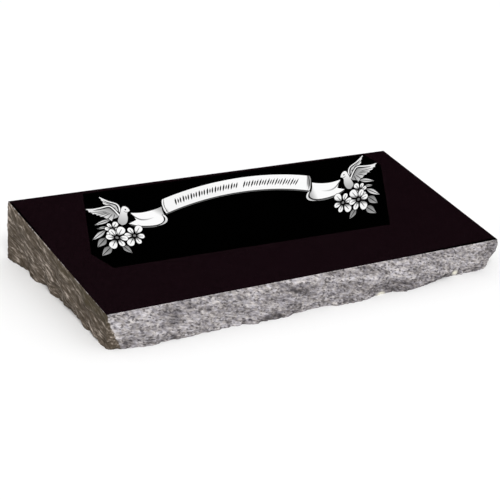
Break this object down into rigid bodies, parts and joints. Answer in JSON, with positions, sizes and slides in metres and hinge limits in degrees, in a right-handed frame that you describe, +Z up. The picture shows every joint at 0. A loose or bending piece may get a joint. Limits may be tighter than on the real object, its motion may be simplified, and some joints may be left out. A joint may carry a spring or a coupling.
{
  "type": "bevel grave marker",
  "caption": "Low granite bevel grave marker for two: sloped polished black face, rock-pitched sides, shallow etched banner with doves and blossoms.",
  "frame": {"origin": "middle of the flat sawn underside, on the ground", "axes": "+X along the width to the right as read from the front, +Y to the high back, +Z up"},
  "size_m": [0.9294, 0.4172, 0.117],
  "materials": {
    "granite": "polished black face, etched picture, rock-pitched sides"
  },
  "bodies": {
    "root": {"granite_marker": "granite"}
  },
  "joints": []
}
